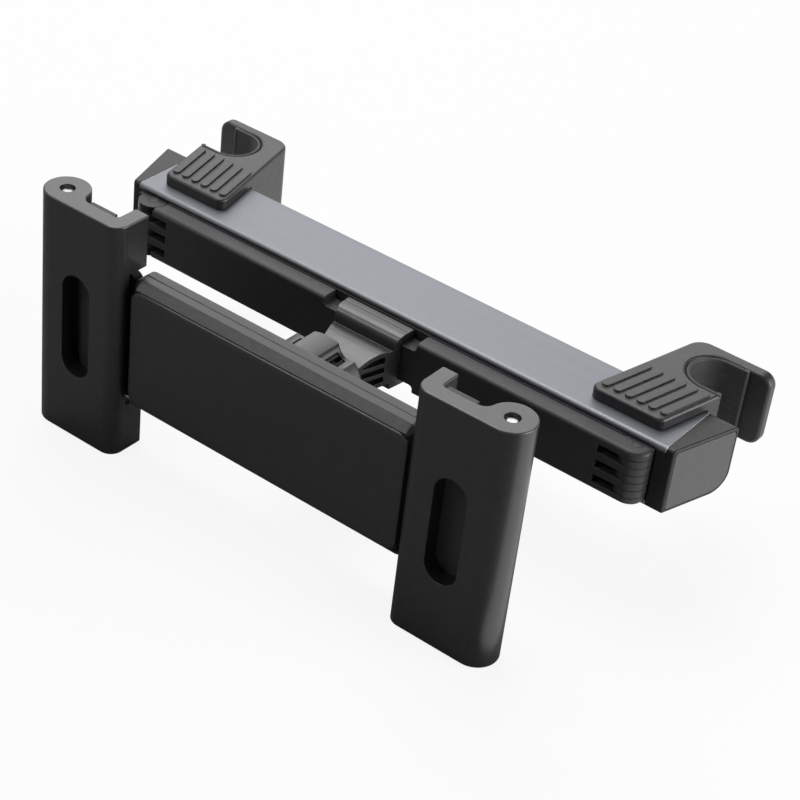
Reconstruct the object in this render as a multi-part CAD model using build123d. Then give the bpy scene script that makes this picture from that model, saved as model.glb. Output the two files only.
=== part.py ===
from build123d import *
import os
from math import cos, pi, radians, sin, tan

# Headrest tablet mount, millimetres, +Z up. The origin is midway between the two headrest rods,
# at the middle of the rail's height. +X runs along the rail, and -Y faces the passenger.

# Fits
running_fit = 0.06        # radial, a pin turning in its hole
press_gap = 0.02          # radial, a pin or shank seated in its hole
slide_gap = 0.2           # between sliding faces
round_gap = 0.3           # between concentric faces that turn
seat_gap = 0.15           # round a plate, pad or plug set in its recess

# Rail: an aluminium extrusion with an arm bay in front and a spring chamber behind
rail_length = 180.0
rail_height = 19.8
rail_depth = 22.0
rail_wall = 1.5
rail_low_rear_radius = 6.0
rail_edge_radius = 1.1
rail_low_edge_radius = 0.6
divider_thickness = 1.2
port_depth = 10.0         # rail front to the screw ports
port_radius = 1.9
port_hole_radius = 1.1
port_web = 1.6

# End caps
cap_front_thickness = 2.3
cap_flare = 16.7          # degrees, the caps splay outwards to the rear
cap_plug_length = 2.9
cap_edge_radius = 0.5
end_plate_margin = 0.9
end_plate_thickness = 1.2
cap_screw_head_radius = 2.0
cap_screw_head_height = 1.6
cap_screw_length = 10.0
cap_screw_seat = 1.6

# Hooks
rod_radius = 7.0
liner_thickness = 1.2
liner_recess = 0.15
liner_edge_radius = 0.5
rod_spacing = 168.0
rod_setback = 34.0        # rail front to the line of the rods
hook_flare = 13.0         # degrees, the pads splay outwards to the rear
hook_pad_front = 5.0      # rail front to the pad's front edge
hook_pad_width = 22.5
hook_pad_start = 62.5
hook_pad_thickness = 3.3
hook_prong = 3.6
prong_overhang = 12.2     # past the rod's axis
prong_tip_radius = 3.6
hook_drop = 1.0           # hook underside above the rail underside
hook_rear_radius = 5.0
hook_corner_radius = 2.4
hook_edge_radius = 0.9
hook_travel = 22.0
rib_count = 6
rib_pitch = 3.55
rib_width = 2.3
rib_length = 17.4
rib_margin = 2.2
rib_height = 0.5
neck_width = 12.0
neck_inset = 5.0          # rod axis to the middle of the neck
neck_height = 6.4
carriage_height = 8.2
hook_screw_radius = 1.5
hook_screw_head_radius = 2.7
hook_screw_head_height = 1.5
hook_screw_length = 11.0
hook_spring_radius = 3.2
hook_spring_wire = 0.5
hook_spring_turns = 9
spring_stop_length = 10.0

# Folding arm: the inner link swings out of the rail, the front arm swings out from the link
knuckle_radius = 4.4
hinge_inset = 7.2         # rail end to the hinge axes
arm_proud = 6.1           # rail front to the folded arm's front face
arm_thickness = 5.2
arm_gap = 0.2             # above and below the arm, to the rail's bay
link_gap = 0.4            # between the folded front arm and the inner link
link_thickness = 5.0
finger_count = 7
finger_gap = 0.2
hinge_pin_radius = 1.5
arm_slot_length = 8.9
arm_edge_radius = 1.2
waist_half_length = 16.0
waist_cut = 2.7
waist_radius = 1.2
ear_relief = 3.6

# Bracket on the arm's waist and the ball stud it carries
bracket_half_width = 11.2
bracket_wall = 2.4
bracket_groove = 2.8      # from the clip down to the nose
bracket_nose_length = 10.8
bracket_nose_root = 8.8   # half width at the clip
bracket_nose_half_width = 7.0
bracket_nose_half_height = 5.2
bracket_skin = 1.6
bracket_core = 1.2
bracket_rib = 1.4
bracket_boss_radius = 4.6
bracket_screw_radius = 1.3
bracket_screw_spacing = 13.0
ball_radius = 8.5
ball_standoff = 31.0      # rail front to the ball's centre
ball_drop = 2.0           # rail middle down to the ball's centre
ball_neck_radius = 4.0
stud_flange_radius = 5.6
stud_flange_thickness = 1.6
stud_shank_radius = 2.5

# Ball seat, collet and lock nut
seat_thickness = 1.3
seat_front = 7.0
seat_rear = 5.0
collet_radius = 12.2
collet_rear = 4.5
collet_slots = 6
collet_slot_width = 1.4
nut_radius = 14.0
nut_front = 7.2
nut_lip = 1.9
nut_lip_radius = 9.7
nut_lobes = 6
nut_flute_radius = 4.2
nut_flute_depth = 1.9
nut_edge_radius = 1.1

# Holder body
holder_standoff = 16.8    # ball centre to the plane of the jaw pins
body_half_length = 47.0
body_half_height = 20.5
body_front = 2.3          # in front of the jaw pins
body_rear = 6.2           # behind the jaw pins
body_seam = 2.6
body_bevel = 2.2
body_wall = 2.4
body_corner_radius = 2.6
body_edge_radius = 0.4
seam_chamfer = 0.25
pad_end_margin = 1.1
pad_edge_margin = 2.5
pad_corner_radius = 3.6
pad_proud = 0.6
pad_thickness = 1.2
holder_screw_offsets = (20.0, 40.0)
holder_boss_radius = 3.0
holder_screw_radius = 1.2
holder_screw_head_radius = 2.3
holder_screw_head_height = 1.2
holder_screw_length = 6.4

# Sliders, their racks and the pinion that keeps the jaws level
slider_front = 1.0
slider_thickness = 2.8
slider_half_height = 16.2
shoulder_half_height = 19.6
shoulder_length = 14.0
slider_reach = 31.0
rack_module = 1.0
pinion_teeth = 10
tooth_height = 0.8        # of the module, above and below the pitch line
tooth_thinning = 0.16
pinion_axle_radius = 2.0
jaw_spring_radius = 1.05
jaw_spring_wire = 0.25
jaw_spring_turns = 7
jaw_spring_post_radius = 1.3

# Jaws
jaw_gap = 0.8             # folded jaw to the holder body
jaw_half_height = 36.4
jaw_lobe_radius = 6.4
jaw_length = 24.2
jaw_plate = 5.0
jaw_lip = 4.8
jaw_lip_reach = 5.4
jaw_corner_radius = 4.0
jaw_lip_radius = 0.6
jaw_groove = 1.3          # between the lip and the pad
jaw_edge_radius = 0.4
jaw_root_radius = 3.0     # between the plate and the lobe, above and below the window
jaw_root_margin = 2.0     # window end to that round
notch_radius = 1.2
jaw_pin_radius = 1.6
jaw_pin_recess = 0.9
jaw_pin_bevel = 0.3
pin_mouth_radius = 2.1
pin_mouth_depth = 1.2
jaw_notch_gap = 0.6
jaw_barrel_radius = 3.9
jaw_barrel_half_height = 17.0
jaw_window_width = 10.0
jaw_window_height = 32.0
jaw_window_offset = 9.8
jaw_pad_thickness = 2.0
jaw_pad_margin = 0.2

# Places worked out from the sizes above
rail_front = -rod_setback
rail_rear = rail_front + rail_depth
rail_top = rail_height / 2
rail_end = rail_length / 2
hinge_half_span = rail_end - hinge_inset
hook_reach = rod_spacing / 2 + prong_overhang
bay_half_height = rail_top - rail_wall
arm_height = 2 * (bay_half_height - arm_gap)
arm_front = rail_front - arm_proud
arm_back = arm_front + arm_thickness
hinge_y = arm_front + knuckle_radius
link_front = arm_back + link_gap
link_back = link_front + link_thickness
bay_rear = link_back + slide_gap * 3
chamber_front = bay_rear + divider_thickness
chamber_rear = rail_rear - rail_wall
port_y = rail_front + port_depth
port_z = bay_half_height - port_radius - slide_gap
finger_pitch = arm_height / finger_count
waist_half_height = arm_height / 2 - waist_cut
ball_y = rail_front - ball_standoff
ball_z = -ball_drop
holder_y = ball_y - holder_standoff
jaw_pin_half_span = body_half_length + jaw_gap + jaw_length
nut_rear = collet_rear + 2 * slide_gap + nut_lip
pad_half_length = body_half_length - pad_end_margin
pad_half_height = body_half_height - pad_edge_margin
socket_radius = ball_radius + 2 * round_gap + seat_thickness
slider_back = slider_front + slider_thickness
pitch_radius = rack_module * pinion_teeth / 2
strip_height = slider_half_height - pitch_radius - rack_module * tooth_height * 1.4
neck_x = rod_spacing / 2 - neck_inset
plug_start = rail_end - cap_plug_length


def block(x_span, y_span, z_span):
    """A box between three pairs of coordinates."""
    spans = (x_span, y_span, z_span)
    size = [high - low for low, high in spans]
    middle = [(high + low) / 2 for low, high in spans]
    return Pos(*middle) * Box(*size)


def bar(start, direction, radius, length):
    """A round bar from a start point along a direction."""
    from_start = (Align.CENTER, Align.CENTER, Align.MIN)
    return Plane(origin=start, z_dir=direction) * Cylinder(radius, length, align=from_start)


def slab(plan, z_span):
    """A plan outline raised between two heights."""
    return Pos(0, 0, z_span[0]) * extrude(plan, z_span[1] - z_span[0])


def other_side(shape):
    """The left-hand copy of a right-hand piece."""
    return mirror(shape, Plane.YZ)


def coil(radius, wire, pitch, turns, start, direction):
    """A round-wire helix from a start point along a direction."""
    path = Helix(pitch, pitch * turns, radius)
    section = Plane(origin=path @ 0, z_dir=path % 0) * Circle(wire)
    return Plane(origin=start, z_dir=direction) * sweep(section, path, is_frenet=True)


def save(shape, node):
    """Write one piece."""
    export_step(shape, f"parts/{node}.step")


# Rail and end caps


def rail_outline(inset):
    """Section of the rail in Y and Z: square in front, with a large round low at the rear."""
    outline = Rectangle(rail_depth - 2 * inset, rail_height - 2 * inset)
    low_rear = outline.vertices().sort_by(Axis.X)[-2:].sort_by(Axis.Y)[0]
    outline = fillet(low_rear, rail_low_rear_radius - inset)
    if inset == 0:
        low_front = outline.vertices().sort_by(Axis.X)[:2].sort_by(Axis.Y)[0]
        outline = fillet(low_front, rail_low_edge_radius)
        outline = fillet(outline.vertices().sort_by(Axis.Y)[-2:], rail_edge_radius)
    return Pos(rail_front + rail_depth / 2, 0) * outline


def port_places():
    """Middle of each screw port, in Y and Z."""
    return [(port_y, port_z), (port_y, -port_z)]


def hook_slot_span():
    """Span in X of the slot that the right hook's neck runs in."""
    half = neck_width / 2 + slide_gap
    return (neck_x - half - hook_travel, neck_x + half)


def make_rail():
    section = rail_outline(0)
    bay_depth = bay_rear - rail_front
    section -= Pos(rail_front + bay_depth / 2, 0) * Rectangle(bay_depth, 2 * bay_half_height)
    chamber_depth = chamber_rear - chamber_front
    chamber = Pos(chamber_front + chamber_depth / 2, 0) * Rectangle(chamber_depth, rail_height)
    section -= rail_outline(rail_wall) & chamber
    for y, z in port_places():
        section += Pos(y, z) * Circle(port_radius)
        section += Pos(y, z * (1 + port_radius / port_z / 2)) * Rectangle(port_web, 1.5 * port_radius)
    section = section & rail_outline(0)
    section -= Sketch() + [Pos(y, z) * Circle(port_hole_radius) for y, z in port_places()]
    section -= Pos(rail_front + bay_depth / 2, 0) * Rectangle(bay_depth, 2 * bay_half_height)
    rail = extrude(Plane.YZ * section, rail_end, both=True)
    slot_z = neck_height / 2 + slide_gap
    start, end = hook_slot_span()
    for x_span in ((start, end), (-end, -start)):
        rail -= block(x_span, (chamber_rear - rail_wall, rail_rear + rail_wall), (-slot_z, slot_z))
    stop_hole = hook_screw_radius + running_fit
    rail -= bar((0, rail_rear - 2 * rail_wall, 0), (0, 1, 0), stop_hole, 4 * rail_wall)
    for x_span in ((plug_start, rail_end), (-rail_end, -plug_start)):
        rail -= block(x_span, (rail_front, bay_rear), (-rail_top, 0))
    return rail


def cap_thickness(y):
    """How far the cap stands out from the rail's end at a given Y."""
    return cap_front_thickness + (y - rail_front) * tan(radians(cap_flare))


def cap_face():
    """Plane of the right cap's splayed outer face, its local X running to the rear."""
    flare = radians(cap_flare)
    middle_y = rail_front + rail_depth / 2
    origin = (rail_end + cap_thickness(middle_y), middle_y, 0)
    return Plane(origin=origin, x_dir=(sin(flare), cos(flare), 0), z_dir=(cos(flare), -sin(flare), 0))


def end_plate_outline(gap):
    """Outline of the inset end plate, drawn on the cap's face."""
    length = rail_depth / cos(radians(cap_flare)) - 2 * (end_plate_margin + gap)
    outline = Rectangle(length, rail_height - 2 * (end_plate_margin + gap))
    low_rear = outline.vertices().sort_by(Axis.X)[-2:].sort_by(Axis.Y)[0]
    outline = fillet(low_rear, rail_low_rear_radius - end_plate_margin)
    low_front = outline.vertices().sort_by(Axis.X)[:2].sort_by(Axis.Y)[0]
    outline = fillet(low_front, rail_low_edge_radius)
    return fillet(outline.vertices().sort_by(Axis.Y)[-2:], rail_edge_radius)


def make_end_cap():
    blank = Pos(rail_end, 0, 0) * extrude(Plane.YZ * rail_outline(0), cap_thickness(rail_rear))
    plan = Polygon(
        (rail_end, rail_front),
        (rail_end + cap_front_thickness, rail_front),
        (rail_end + cap_thickness(rail_rear), rail_rear),
        (rail_end, rail_rear),
        align=None,
    )
    cap = blank & slab(plan, (-rail_height, rail_height))
    cap = fillet(cap.faces().sort_by(Axis.X)[-1].edges(), cap_edge_radius)
    cap -= extrude(cap_face() * end_plate_outline(0), -end_plate_thickness)
    plug_x = (plug_start + seat_gap, rail_end)
    plug_z = (-rail_top, bay_half_height - seat_gap)
    plug = block(plug_x, (rail_front, bay_rear - seat_gap), plug_z)
    low_front = plug.edges().filter_by(Axis.X).sort_by(Axis.Y)[:2].sort_by(Axis.Z)[0]
    cap += fillet(low_front, rail_low_edge_radius)
    core_z = carriage_height / 2
    core_y = (chamber_front + seat_gap, chamber_rear - seat_gap)
    cap += block(plug_x, core_y, (-core_z, core_z))
    head_depth = cap_thickness(rail_rear)
    for y, z in port_places():
        cap -= bar((rail_end - 1, y, z), (1, 0, 0), port_hole_radius + running_fit, head_depth)
        seat = (rail_end + cap_screw_seat, y, z)
        cap -= bar(seat, (1, 0, 0), cap_screw_head_radius + seat_gap, head_depth)
    return cap


def make_end_plate():
    return extrude(cap_face() * end_plate_outline(seat_gap), -end_plate_thickness)


def make_cap_screws():
    screws = []
    for y, z in port_places():
        seat_x = rail_end + cap_screw_seat
        head = bar((seat_x, y, z), (1, 0, 0), cap_screw_head_radius, cap_screw_head_height)
        shank_radius = port_hole_radius - press_gap
        screws.append(head + bar((seat_x, y, z), (-1, 0, 0), shank_radius, cap_screw_length))
    return screws


def hinge_ears():
    """Fixed knuckles on the left cap, above and below the inner link's fingers."""
    ears = []
    for index in (0, finger_count - 1):
        plan = Pos(-hinge_half_span, hinge_y) * Circle(knuckle_radius)
        ear = slab(plan, finger_span(index))
        x_span = (-rail_end + cap_plug_length / 2, -hinge_half_span)
        ear += block(x_span, (hinge_y, hinge_y + knuckle_radius), finger_span(index))
        ears.append(ear - hinge_hole(-hinge_half_span, press_gap))
    return ears


# Folding arm


def finger_span(index, grow=0.0):
    """Height span of one hinge finger, counted from below."""
    low = -arm_height / 2 + index * finger_pitch
    return (low + finger_gap / 2 - grow, low + finger_pitch - finger_gap / 2 + grow)


def hinge_hole(x, gap):
    """A hole on a hinge axis."""
    return bar((x, hinge_y, -arm_height), (0, 0, 1), hinge_pin_radius + gap, 2 * arm_height)


def knuckle_disc(x, radius, index, grow=0.0):
    """A disc round a hinge axis, as high as one finger."""
    return slab(Pos(x, hinge_y) * Circle(radius), finger_span(index, grow))


def make_hinge_pin(x):
    half = arm_height / 2 - finger_gap
    return bar((x, hinge_y, -half), (0, 0, 1), hinge_pin_radius, 2 * half)


def make_inner_link():
    half = arm_height / 2
    link = block((-hinge_half_span, hinge_half_span), (link_front, link_back), (-half, half))
    for x in (-hinge_half_span, hinge_half_span):
        for index in range(0, finger_count, 2):
            link -= knuckle_disc(x, knuckle_radius + round_gap, index, finger_gap)
        for index in range(1, finger_count, 2):
            link += knuckle_disc(x, knuckle_radius, index)
        link -= hinge_hole(x, running_fit)
    return link


def make_front_arm():
    half = arm_height / 2
    reach = hinge_half_span + knuckle_radius
    plan = Pos(0, (arm_front + arm_back) / 2) * Rectangle(2 * hinge_half_span, arm_back - arm_front)
    front_half = Pos(0, arm_back - knuckle_radius) * Rectangle(4 * reach, 2 * knuckle_radius)
    for x in (-hinge_half_span, hinge_half_span):
        plan += (Pos(x, hinge_y) * Circle(knuckle_radius)) & front_half
    arm = slab(plan, (-half, half))
    rims = [edge for edge in arm.edges().filter_by_position(Axis.Y, arm_front - 1, arm_front + 0.01)]
    arm = fillet([edge for edge in rims if edge.length > hinge_half_span], arm_edge_radius)
    rear = Pos(0, arm_back + knuckle_radius) * Rectangle(4 * reach, 2 * knuckle_radius)
    slot_start = hinge_half_span - arm_slot_length
    for index in range(finger_count):
        if index % 2:
            grown = finger_span(index, finger_gap)
            arm -= block((slot_start, reach + 1), (arm_front - 1, arm_back + 1), grown)
            arm -= block((-reach - 1, -slot_start), (arm_front - 1, arm_back + 1), grown)
        else:
            knuckle = (Pos(hinge_half_span, hinge_y) * Circle(knuckle_radius)) & rear
            arm += slab(knuckle, finger_span(index))
    for index in (0, finger_count - 1):
        grown = finger_span(index, finger_gap)
        arm -= knuckle_disc(-hinge_half_span, knuckle_radius + round_gap, index, finger_gap)
        arm -= block((-reach - 1, -hinge_half_span + ear_relief), (arm_front - 1, arm_back + 1), grown)
    arm -= hinge_hole(hinge_half_span, press_gap)
    arm -= hinge_hole(-hinge_half_span, round_gap)
    mouth = hinge_pin_radius + round_gap
    mouth_span = (-hinge_half_span - mouth, -hinge_half_span + mouth)
    arm -= block(mouth_span, (hinge_y, arm_back + 1), (-half - 1, half + 1))
    waist = Rectangle(2 * waist_half_length, 2 * waist_cut)
    waist = fillet(waist.vertices(), waist_radius)
    for side in (-1, 1):
        cut = Plane.XZ * (Pos(0, side * half) * waist)
        arm -= Pos(0, hinge_y, 0) * extrude(cut, 2 * knuckle_radius, both=True)
    for x in (-bracket_screw_spacing / 2, bracket_screw_spacing / 2):
        arm -= bar((x, arm_front - 1, 0), (0, 1, 0), bracket_screw_radius + press_gap, knuckle_radius * 2)
    return arm


# Bracket and ball stud


def bracket_profile():
    """Side profile of the bracket's nose in Y and Z, with its sweeping top."""
    web_front = arm_front - bracket_wall
    tip = web_front - bracket_nose_length
    top = arm_height / 2 - bracket_groove
    low = -waist_half_height - bracket_skin / 2
    high_tip = ball_z + bracket_nose_half_height
    low_tip = ball_z - bracket_nose_half_height
    crown = ((tip + web_front) / 2 + bracket_nose_length / 8, (top + high_tip) / 2 + bracket_skin / 2)
    outline = ThreePointArc((web_front, top), crown, (tip, high_tip))
    outline += Line((tip, high_tip), (tip, low_tip))
    outline += Line((tip, low_tip), (web_front, low))
    outline += Line((web_front, low), (web_front, top))
    return make_face(outline)


def make_bracket():
    web_front = arm_front - bracket_wall
    tip = web_front - bracket_nose_length
    half = arm_height / 2
    web = Pos((web_front + arm_front) / 2, 0) * Rectangle(bracket_wall, 2 * half)
    flange_back = arm_back - finger_gap
    for side in (-1, 1):
        middle = side * (waist_half_height + half) / 2
        flange = Rectangle(flange_back - web_front, half - waist_half_height)
        web += Pos((flange_back + web_front) / 2, middle) * flange
    clip = extrude(Plane.YZ * web, bracket_half_width, both=True)
    outer = clip.edges().filter_by(Axis.X).filter_by_position(Axis.Y, web_front - 0.01, web_front + 0.01)
    clip = fillet(outer, (half - waist_half_height) * 0.8)
    profile = bracket_profile()
    nose = extrude(Plane.YZ * profile, bracket_half_width, both=True)
    plan = Polygon(
        (-bracket_nose_root, web_front),
        (-bracket_nose_half_width, tip),
        (bracket_nose_half_width, tip),
        (bracket_nose_root, web_front),
        align=None,
    )
    nose = nose & slab(plan, (-rail_height, rail_height))
    pocket_profile = offset(profile, -bracket_skin, kind=Kind.INTERSECTION)
    for share in (1 / 3, 2 / 3):
        rib_z = ball_z + bracket_nose_half_height * (2 * share - 1)
        rib = Pos((web_front + tip) / 2, rib_z) * Rectangle(2 * bracket_nose_length, bracket_rib)
        pocket_profile -= rib
    pocket = extrude(Plane.YZ * pocket_profile, bracket_half_width + 1, both=True)
    core_span = (-bracket_core, bracket_core)
    pocket -= block(core_span, (tip - 1, arm_back), (-rail_height, rail_height))
    pocket -= bar((0, tip - 1, ball_z), (0, 1, 0), bracket_boss_radius, bracket_nose_length + 2)
    bracket = clip + (nose - pocket)
    bracket -= bar((0, tip - 1, ball_z), (0, 1, 0), stud_shank_radius + press_gap, bracket_nose_length)
    for x in (-bracket_screw_spacing / 2, bracket_screw_spacing / 2):
        bracket -= bar((x, web_front - 1, 0), (0, 1, 0), bracket_screw_radius + press_gap, bracket_wall + 2)
    return bracket


def make_bracket_screws():
    length = arm_back - arm_front + bracket_wall
    screws = []
    for x in (-bracket_screw_spacing / 2, bracket_screw_spacing / 2):
        screws.append(bar((x, arm_back, 0), (0, -1, 0), bracket_screw_radius, length))
    return screws


def make_ball_stud():
    tip = arm_front - bracket_wall - bracket_nose_length
    stud = Pos(0, ball_y, ball_z) * Sphere(ball_radius)
    stud += bar((0, ball_y, ball_z), (0, 1, 0), ball_neck_radius, tip - ball_y)
    flange_start = (0, tip - stud_flange_thickness, ball_z)
    stud += bar(flange_start, (0, 1, 0), stud_flange_radius, stud_flange_thickness)
    stud += bar((0, tip - 1, ball_z), (0, 1, 0), stud_shank_radius, bracket_nose_length - 1)
    return stud


# Ball seat, collet and lock nut


def at_ball(shape):
    """Place a turned piece, drawn about +Z at the origin, with its axis along +Y through the ball."""
    return Plane(origin=(0, ball_y, ball_z), x_dir=(1, 0, 0), z_dir=(0, 1, 0)) * shape


def make_ball_seat():
    inner = ball_radius + round_gap
    seat = Sphere(inner + seat_thickness) - Sphere(inner)
    size = 4 * ball_radius
    seat = seat & block((-size, size), (-size, size), (-seat_front, seat_rear))
    return at_ball(seat)


def collet():
    """Split socket that stands on the holder's back round the ball seat."""
    back = holder_y + body_rear - ball_y
    tube = Pos(0, 0, back) * Cylinder(
        collet_radius, collet_rear - back, align=(Align.CENTER, Align.CENTER, Align.MIN)
    )
    tube -= Sphere(socket_radius)
    for index in range(collet_slots):
        cut = block((0, 2 * collet_radius), (-collet_slot_width / 2, collet_slot_width / 2), (-seat_rear, nut_rear))
        tube -= Rot(0, 0, 360 / collet_slots * index) * cut
    return at_ball(tube)


def make_lock_nut():
    plan = Circle(nut_radius)
    flute_distance = nut_radius + nut_flute_radius - nut_flute_depth
    for index in range(nut_lobes):
        turn = Rot(0, 0, 360 / nut_lobes * (index + 0.5) + 90)
        plan -= turn * Pos(flute_distance, 0) * Circle(nut_flute_radius)
    nut = slab(plan, (-nut_front, nut_rear))
    rims = nut.faces().sort_by(Axis.Z)
    nut = fillet(rims[0].edges() + rims[-1].edges(), nut_edge_radius)
    bore_length = nut_front + collet_rear + 2 * slide_gap
    bore = Cylinder(collet_radius + round_gap, bore_length, align=(Align.CENTER, Align.CENTER, Align.MIN))
    nut -= Pos(0, 0, -nut_front) * bore
    nut -= Cylinder(nut_lip_radius, 4 * nut_radius)
    return at_ball(nut)


# Holder body


def at_holder(shape):
    """Place a piece drawn about the middle of the holder, in the plane of the jaw pins."""
    return Pos(0, holder_y, ball_z) * shape


def body_blank(front, rear):
    """Rounded block of the holder body between two depths."""
    outline = RectangleRounded(2 * body_half_length, 2 * body_half_height, body_corner_radius)
    return Pos(0, front, 0) * extrude(Plane.XZ * outline, -(rear - front))


def slider_cavity():
    """Room for the two sliders, with an end opening for each slider's strip."""
    half = slider_half_height + slide_gap
    depth = (slider_front - slide_gap, slider_back + slide_gap)
    inner = body_half_length - body_wall
    cavity = block((-inner, inner), depth, (-half, half))
    strip_low = slider_half_height - strip_height - slide_gap
    cavity += block((-body_half_length - 1, 0), depth, (strip_low, half))
    cavity += block((0, body_half_length + 1), depth, (-half, -strip_low))
    return cavity


def screw_columns(radius, y_span):
    """Round columns along Y at the body's screws."""
    columns = []
    for offset_x in holder_screw_offsets:
        for x in (-offset_x, offset_x):
            columns.append(bar((x, y_span[0], 0), (0, 1, 0), radius, y_span[1] - y_span[0]))
    return columns


def spring_post_places():
    """Middle of the post that each jaw spring is hooked on, in X and Z."""
    x = body_half_length - body_wall - 2 * jaw_spring_post_radius
    z = slider_half_height - strip_height / 2
    return [(x, z), (-x, -z)]


def make_holder_back():
    back = body_blank(body_seam, body_rear)
    rear_rim = back.faces().sort_by(Axis.Y)[-1].edges()
    back = fillet(rear_rim, body_corner_radius * 0.4)
    back = chamfer(back.faces().sort_by(Axis.Y)[0].edges(), seam_chamfer)
    back -= slider_cavity()
    floor = slider_back + slide_gap
    for column in screw_columns(holder_boss_radius, (slider_front - slide_gap, floor)):
        back += column
    back += bar((0, slider_front, 0), (0, 1, 0), pinion_axle_radius, floor - slider_front)
    for x, z in spring_post_places():
        back += bar((x, slider_front, z), (0, 1, 0), jaw_spring_post_radius, floor - slider_front)
    for column in screw_columns(holder_screw_radius + press_gap, (slider_front - 1, body_rear + 1)):
        back -= column
    head_floor = body_rear - holder_screw_head_height
    for column in screw_columns(holder_screw_head_radius + seat_gap, (head_floor, body_rear + 1)):
        back -= column
    return at_holder(back) + collet()


def make_holder_front():
    cover = body_blank(-body_front, body_seam)
    front_rim = cover.faces().sort_by(Axis.Y)[0].edges()
    cover = chamfer(front_rim, body_bevel)
    cover = chamfer(cover.faces().sort_by(Axis.Y)[-1].edges(), seam_chamfer)
    shoulder_y = body_bevel - body_front
    shoulder = cover.edges().filter_by_position(Axis.Y, shoulder_y - 0.01, shoulder_y + 0.01)
    cover = fillet(shoulder, body_edge_radius)
    cover -= slider_cavity()
    pad = RectangleRounded(2 * (pad_half_length + seat_gap), 2 * (pad_half_height + seat_gap), pad_corner_radius)
    pad_back = pad_thickness - pad_proud - body_front
    cover -= Pos(0, -body_front - 1, 0) * extrude(Plane.XZ * pad, -(pad_back + body_front + 1))
    for column in screw_columns(holder_boss_radius + seat_gap, (slider_front - slide_gap, body_seam + 1)):
        cover -= column
    for column in screw_columns(holder_screw_radius + press_gap, (pad_back + 0.6, body_seam)):
        cover -= column
    return at_holder(cover)


def make_front_pad():
    outline = RectangleRounded(2 * pad_half_length, 2 * pad_half_height, pad_corner_radius - seat_gap)
    pad = Pos(0, -body_front - pad_proud, 0) * extrude(Plane.XZ * outline, -pad_thickness)
    front_rim = pad.faces().sort_by(Axis.Y)[0].edges()
    return at_holder(fillet(front_rim, pad_thickness / 4))


def make_holder_screws():
    head_floor = body_rear - holder_screw_head_height
    heads = screw_columns(holder_screw_head_radius, (head_floor, body_rear))
    shanks = screw_columns(holder_screw_radius, (head_floor - holder_screw_length + 1.6, head_floor))
    return [at_holder(head + shank) for head, shank in zip(heads, shanks)]


# Sliders and pinion


def rack_tooth(x, root):
    """One straight-sided rack tooth that points down from the root line."""
    lean = tan(radians(20))
    height = rack_module * tooth_height
    half = rack_module * pi / 4 - tooth_thinning
    tip = pitch_radius - height
    return Polygon(
        (x - half - lean * (root - pitch_radius), root),
        (x - half + lean * height, tip),
        (x + half - lean * height, tip),
        (x + half + lean * (root - pitch_radius), root),
        align=None,
    )


def make_left_slider():
    root = slider_half_height - strip_height
    strip_end = slider_reach
    strip = Pos((strip_end - jaw_pin_half_span) / 2, (slider_half_height + root) / 2) * Rectangle(
        strip_end + jaw_pin_half_span, strip_height
    )
    shoulder = -body_half_length - slide_gap * 2
    strip += Pos((shoulder - jaw_pin_half_span) / 2, 0) * Rectangle(
        shoulder + jaw_pin_half_span, 2 * slider_half_height
    )
    strip += Pos(shoulder - shoulder_length / 2, 0) * RectangleRounded(
        shoulder_length, 2 * shoulder_half_height, body_corner_radius
    )
    pitch = rack_module * pi
    count = int((slider_reach + pitch) / pitch)
    for index in range(count):
        x = (index - 0.5) * pitch
        if x + pitch / 2 < strip_end:
            strip += rack_tooth(x, root)
    slider = Pos(0, slider_back, 0) * extrude(Plane.XZ * strip, slider_thickness)
    barrel_start = (-jaw_pin_half_span, 0, -jaw_barrel_half_height)
    slider += bar(barrel_start, (0, 0, 1), jaw_barrel_radius, 2 * jaw_barrel_half_height)
    slider -= bar(barrel_start, (0, 0, 1), jaw_pin_radius + running_fit, 2 * jaw_barrel_half_height)
    return slider


def make_right_slider():
    return Rot(0, 180, 0) * make_left_slider()


def make_pinion():
    root = pitch_radius - rack_module * tooth_height * 1.4
    tip = pitch_radius + rack_module * tooth_height
    half_root = rack_module * pi / 4 - tooth_thinning + tan(radians(20)) * (pitch_radius - root)
    half_tip = rack_module * pi / 4 - tooth_thinning - tan(radians(20)) * (tip - pitch_radius) * 1.3
    tooth = Polygon(
        (root - rack_module / 2, -half_root),
        (pitch_radius, -rack_module * pi / 4 + tooth_thinning),
        (tip, -half_tip),
        (tip, half_tip),
        (pitch_radius, rack_module * pi / 4 - tooth_thinning),
        (root - rack_module / 2, half_root),
        align=None,
    )
    gear = Circle(root)
    for index in range(pinion_teeth):
        gear += Rot(0, 0, 360 / pinion_teeth * index + 90) * tooth
    gear -= Circle(pinion_axle_radius + running_fit)
    depth = slider_thickness - slide_gap
    return at_holder(Pos(0, slider_front + depth, 0) * extrude(Plane.XZ * gear, depth))


def make_jaw_spring():
    """Tension spring from the right-hand post to the left slider's inner end."""
    x, z = spring_post_places()[0]
    middle_y = (slider_front + slider_back) / 2
    start_x = slider_reach + 2 * jaw_spring_wire
    pitch = (x - jaw_spring_post_radius - 2 * jaw_spring_wire - start_x) / jaw_spring_turns
    start = (start_x, middle_y, z)
    return coil(jaw_spring_radius, jaw_spring_wire, pitch, jaw_spring_turns, start, (1, 0, 0))


# Jaws


def at_right_pin(shape):
    """Place a jaw piece drawn with its pin at the origin and its plate running to -X."""
    return at_holder(Pos(jaw_pin_half_span, 0, 0) * shape)


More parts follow.
